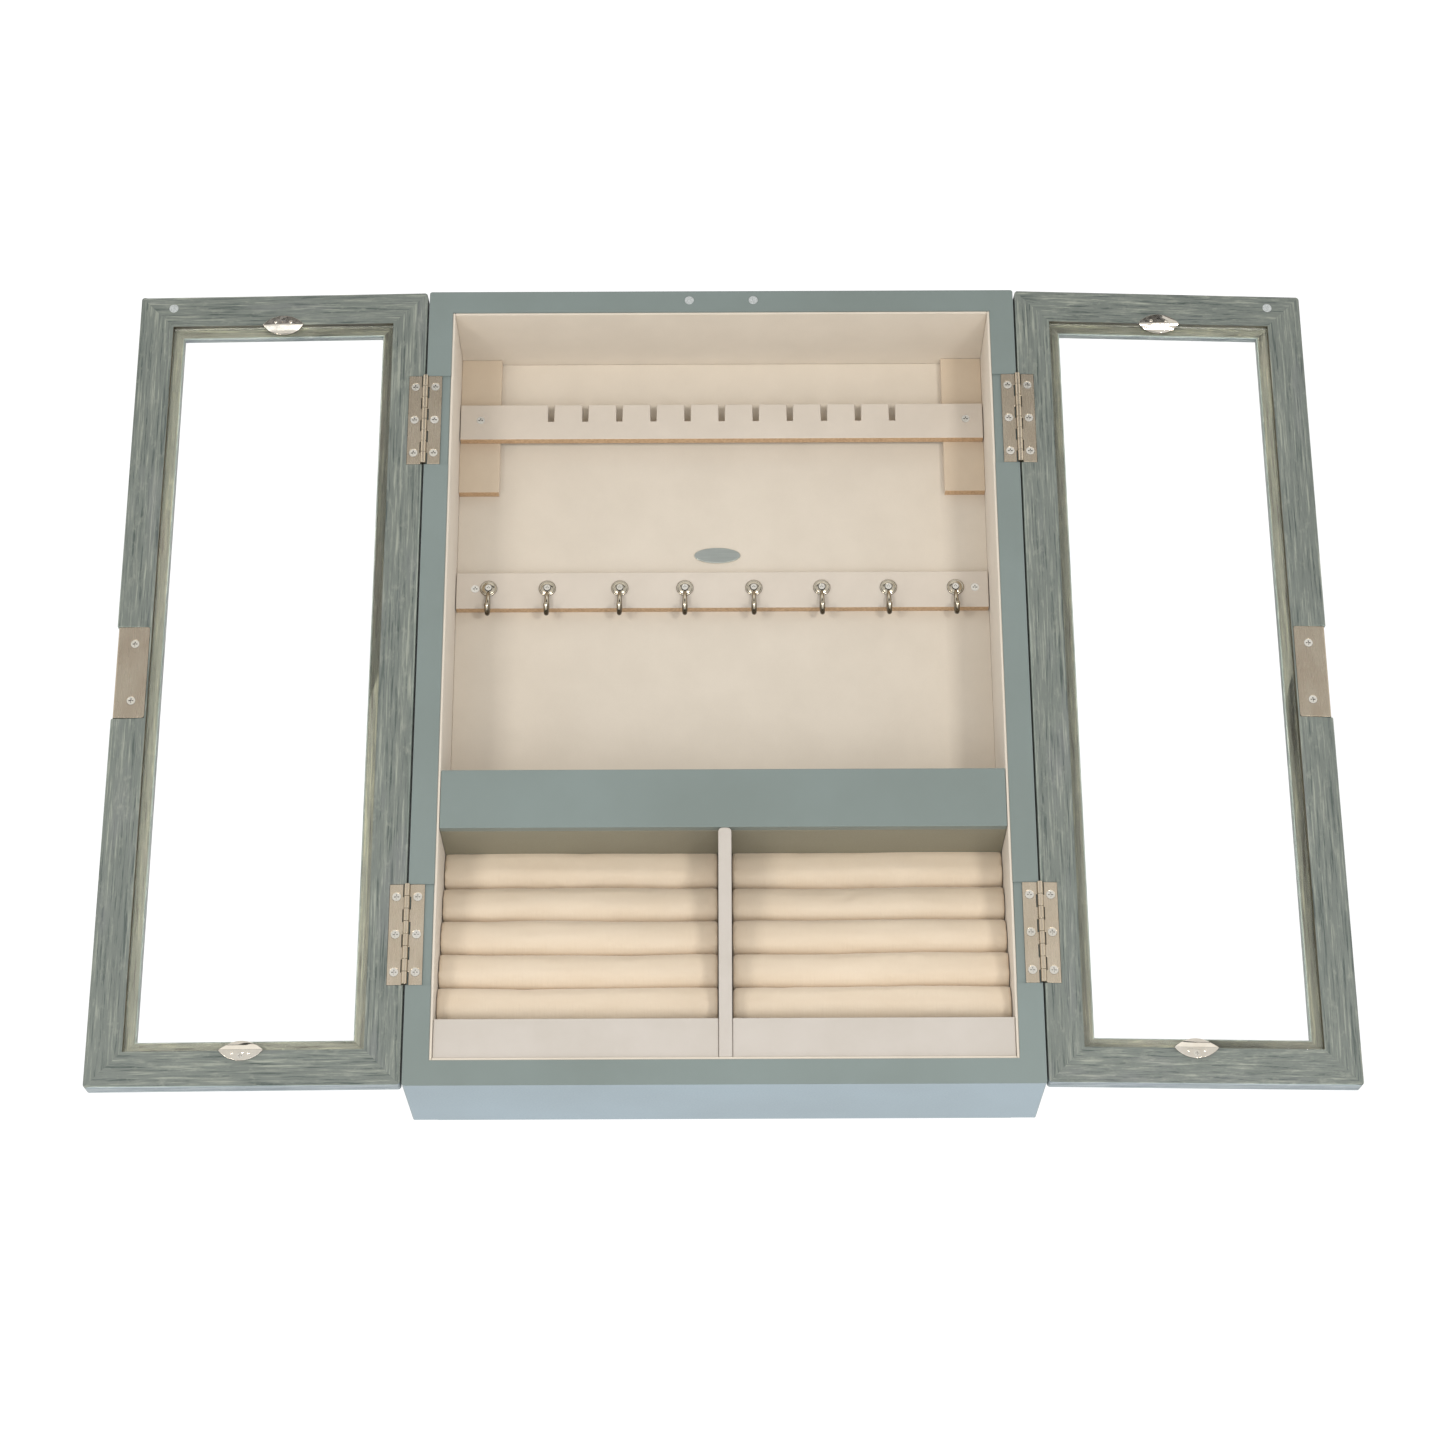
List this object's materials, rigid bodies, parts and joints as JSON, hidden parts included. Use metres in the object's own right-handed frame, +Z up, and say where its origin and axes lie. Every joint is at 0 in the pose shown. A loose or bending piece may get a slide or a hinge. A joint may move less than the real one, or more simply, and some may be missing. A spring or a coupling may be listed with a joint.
{
  "type": "jewelry armoire",
  "caption": "Shallow painted jewelry armoire with framed glass doors on butt hinges, necklace and hook rails, a tray shelf and padded ring compartments.",
  "frame": {"origin": "centre of the cabinet's base, on the surface that it stands on", "axes": "+Z up, -Y to the front, +X to the right of a person facing the front"},
  "size_m": [0.709, 0.0725, 0.502],
  "materials": {
    "cabinet_paint": "satin blue-grey paint on board",
    "panel": "bare pressed fibreboard",
    "lining": "cream flocked lining, bare board at the sawn edges",
    "plaque": "pale grey-green enamel",
    "bright_metal": "polished, slightly warm",
    "nickel": "satin nickel",
    "ring_padding": "cream suede cloth over foam",
    "door_paint": "grey-green paint brushed along the grain",
    "door_glass": "clear"
  },
  "bodies": {
    "cabinet": {"left_side_board": "cabinet_paint", "right_side_board": "cabinet_paint", "top_board": "cabinet_paint", "bottom_board": "cabinet_paint", "back_panel": "panel", "lining_left": "lining", "lining_right": "lining", "lining_top": "lining", "lining_bottom": "lining", "lining_back": "lining", "spacer_left": "lining", "spacer_right": "lining", "necklace_rail": "lining", "hook_rail": "lining", "plaque": "plaque", "hooks_left": "bright_metal", "hooks_right": "bright_metal", "hook_screws": "bright_metal", "cabinet_screws": "bright_metal", "hanger_plates": "nickel", "shelf_front": "cabinet_paint", "shelf_floor": "cabinet_paint", "divider": "lining", "ring_support_left": "lining", "ring_support_right": "lining", "toe_board_left": "lining", "toe_board_right": "lining", "ring_roll_left_1": "ring_padding", "ring_roll_left_2": "ring_padding", "ring_roll_left_3": "ring_padding", "ring_roll_left_4": "ring_padding", "ring_roll_left_5": "ring_padding", "ring_roll_right_1": "ring_padding", "ring_roll_right_2": "ring_padding", "ring_roll_right_3": "ring_padding", "ring_roll_right_4": "ring_padding", "ring_roll_right_5": "ring_padding", "magnets_cabinet": "bright_metal", "hinge_leaves_cabinet": "nickel", "hinge_pins": "nickel"},
    "left_door": {"left_door_hinge_stile": "door_paint", "left_door_meeting_stile": "door_paint", "left_door_top_rail": "door_paint", "left_door_bottom_rail": "door_paint", "left_door_glass": "door_glass", "left_door_clips": "nickel", "left_door_pull": "nickel", "left_door_magnet": "bright_metal", "left_door_hinge_leaves": "nickel", "left_door_screws": "bright_metal"},
    "right_door": {"right_door_hinge_stile": "door_paint", "right_door_meeting_stile": "door_paint", "right_door_top_rail": "door_paint", "right_door_bottom_rail": "door_paint", "right_door_glass": "door_glass", "right_door_clips": "nickel", "right_door_pull": "nickel", "right_door_magnet": "bright_metal", "right_door_hinge_leaves": "nickel", "right_door_screws": "bright_metal"}
  },
  "joints": [
    {"name": "left_door_swing", "type": "hinge", "parent": "cabinet", "child": "left_door", "pos_m": [-0.1786, -0.0358, 0.251], "axis": [0, 0, 1], "range_deg": [-4, 181.4]},
    {"name": "right_door_swing", "type": "hinge", "parent": "cabinet", "child": "right_door", "pos_m": [0.1786, -0.0358, 0.251], "axis": [0, 0, -1], "range_deg": [-2.4, 183]}
  ]
}
